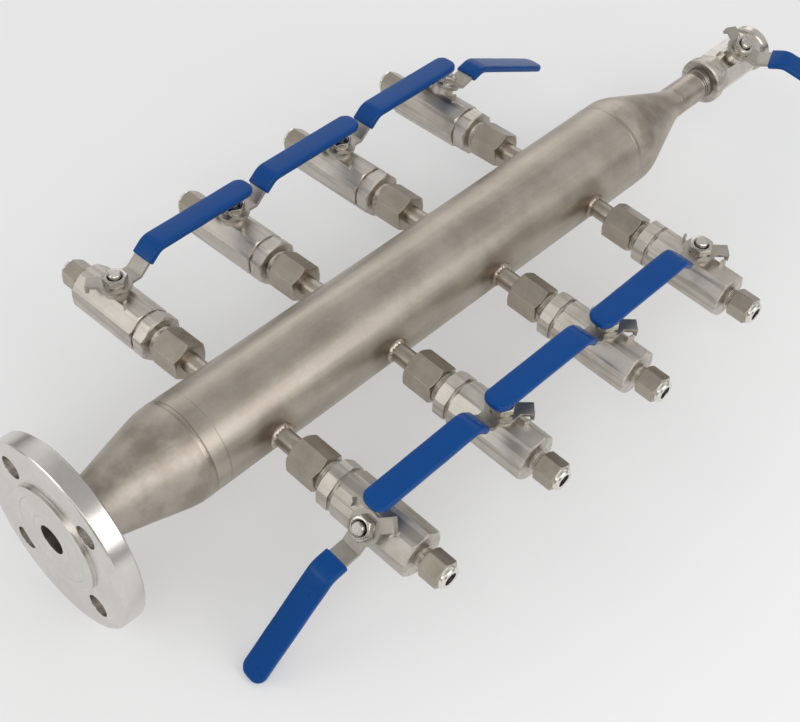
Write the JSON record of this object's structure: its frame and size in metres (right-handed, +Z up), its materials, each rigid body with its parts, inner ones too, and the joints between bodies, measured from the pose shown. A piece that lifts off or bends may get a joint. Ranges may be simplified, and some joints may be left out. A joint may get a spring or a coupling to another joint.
{
  "type": "air manifold splitter",
  "caption": "Pipe header with a bolted inlet flange that shares air between rows of lever-operated ball valves with compression outlets, and a drain valve at its far end.",
  "frame": {"origin": "centre of the inlet flange's raised face", "axes": "+X along the header from the inlet to the drain valve, +Z up, the front outlets point to -Y and the back outlets to +Y"},
  "size_m": [0.64, 0.3132, 0.1256],
  "materials": {
    "pipe_steel": "satin",
    "flange_steel": "machined",
    "weld_steel": "bright",
    "fitting_steel": "satin",
    "valve_steel": "polished",
    "lever_plate": "polished",
    "nuts_and_washers": "polished",
    "stem_steel": "machined",
    "seat_plastic": "satin",
    "blue_grip": "gloss"
  },
  "bodies": {
    "manifold": {"ball_seats": "seat_plastic", "drain_nipple": "pipe_steel", "drain_reducer": "pipe_steel", "end_caps": "valve_steel", "gland_rings": "fitting_steel", "header_pipe": "pipe_steel", "inlet_ferrules": "fitting_steel", "inlet_flange": "flange_steel", "inlet_nuts": "fitting_steel", "inlet_reducer": "pipe_steel", "outlet_ferrules": "fitting_steel", "outlet_nuts": "fitting_steel", "outlet_stubs": "pipe_steel", "stem_packings": "seat_plastic", "valve_body_back_1": "valve_steel", "valve_body_back_2": "valve_steel", "valve_body_back_3": "valve_steel", "valve_body_back_4": "valve_steel", "valve_body_drain": "valve_steel", "valve_body_front_1": "valve_steel", "valve_body_front_2": "valve_steel", "valve_body_front_3": "valve_steel", "valve_body_front_4": "valve_steel", "weld_beads": "weld_steel"},
    "handle_front_1": {"lever_front_1": "lever_plate", "grip_front_1": "blue_grip", "stem_front_1": "stem_steel", "handle_nut_front_1": "nuts_and_washers"},
    "handle_front_2": {"lever_front_2": "lever_plate", "grip_front_2": "blue_grip", "stem_front_2": "stem_steel", "handle_nut_front_2": "nuts_and_washers"},
    "handle_front_3": {"lever_front_3": "lever_plate", "grip_front_3": "blue_grip", "stem_front_3": "stem_steel", "handle_nut_front_3": "nuts_and_washers"},
    "handle_front_4": {"lever_front_4": "lever_plate", "grip_front_4": "blue_grip", "stem_front_4": "stem_steel", "handle_nut_front_4": "nuts_and_washers"},
    "handle_back_1": {"lever_back_1": "lever_plate", "grip_back_1": "blue_grip", "stem_back_1": "stem_steel", "handle_nut_back_1": "nuts_and_washers"},
    "handle_back_2": {"lever_back_2": "lever_plate", "grip_back_2": "blue_grip", "stem_back_2": "stem_steel", "handle_nut_back_2": "nuts_and_washers"},
    "handle_back_3": {"lever_back_3": "lever_plate", "grip_back_3": "blue_grip", "stem_back_3": "stem_steel", "handle_nut_back_3": "nuts_and_washers"},
    "handle_back_4": {"lever_back_4": "lever_plate", "grip_back_4": "blue_grip", "stem_back_4": "stem_steel", "handle_nut_back_4": "nuts_and_washers"},
    "handle_drain": {"lever_drain": "lever_plate", "grip_drain": "blue_grip", "stem_drain": "stem_steel", "handle_nut_drain": "nuts_and_washers"}
  },
  "joints": [
    {"name": "front_1_turn", "type": "hinge", "parent": "manifold", "child": "handle_front_1", "pos_m": [0.1315, -0.10892, -0.00428], "axis": [-0.7986, -0.0236, 0.6014], "range_deg": [0, 90]},
    {"name": "front_2_turn", "type": "hinge", "parent": "manifold", "child": "handle_front_2", "pos_m": [0.2225, -0.10892, -0.00428], "axis": [-0.0349, -0.0392, 0.9986], "range_deg": [0, 90]},
    {"name": "front_3_turn", "type": "hinge", "parent": "manifold", "child": "handle_front_3", "pos_m": [0.3135, -0.10892, -0.00428], "axis": [0, -0.0393, 0.9992], "range_deg": [0, 90]},
    {"name": "front_4_turn", "type": "hinge", "parent": "manifold", "child": "handle_front_4", "pos_m": [0.4045, -0.10892, -0.00428], "axis": [-0.0175, -0.0393, 0.9991], "range_deg": [0, 90]},
    {"name": "back_1_turn", "type": "hinge", "parent": "manifold", "child": "handle_back_1", "pos_m": [0.1315, 0.10892, -0.00428], "axis": [0, 0.0393, 0.9992], "range_deg": [0, 90]},
    {"name": "back_2_turn", "type": "hinge", "parent": "manifold", "child": "handle_back_2", "pos_m": [0.2225, 0.10892, -0.00428], "axis": [0, 0.0393, 0.9992], "range_deg": [0, 90]},
    {"name": "back_3_turn", "type": "hinge", "parent": "manifold", "child": "handle_back_3", "pos_m": [0.3135, 0.10892, -0.00428], "axis": [0, 0.0393, 0.9992], "range_deg": [0, 90]},
    {"name": "back_4_turn", "type": "hinge", "parent": "manifold", "child": "handle_back_4", "pos_m": [0.4045, 0.10892, -0.00428], "axis": [0.4384, 0.0353, 0.8981], "range_deg": [0, 90]},
    {"name": "drain_turn", "type": "hinge", "parent": "manifold", "child": "handle_drain", "pos_m": [0.5908, 0, 0], "axis": [0, -0.4384, 0.8988], "range_deg": [-25, 65]}
  ]
}
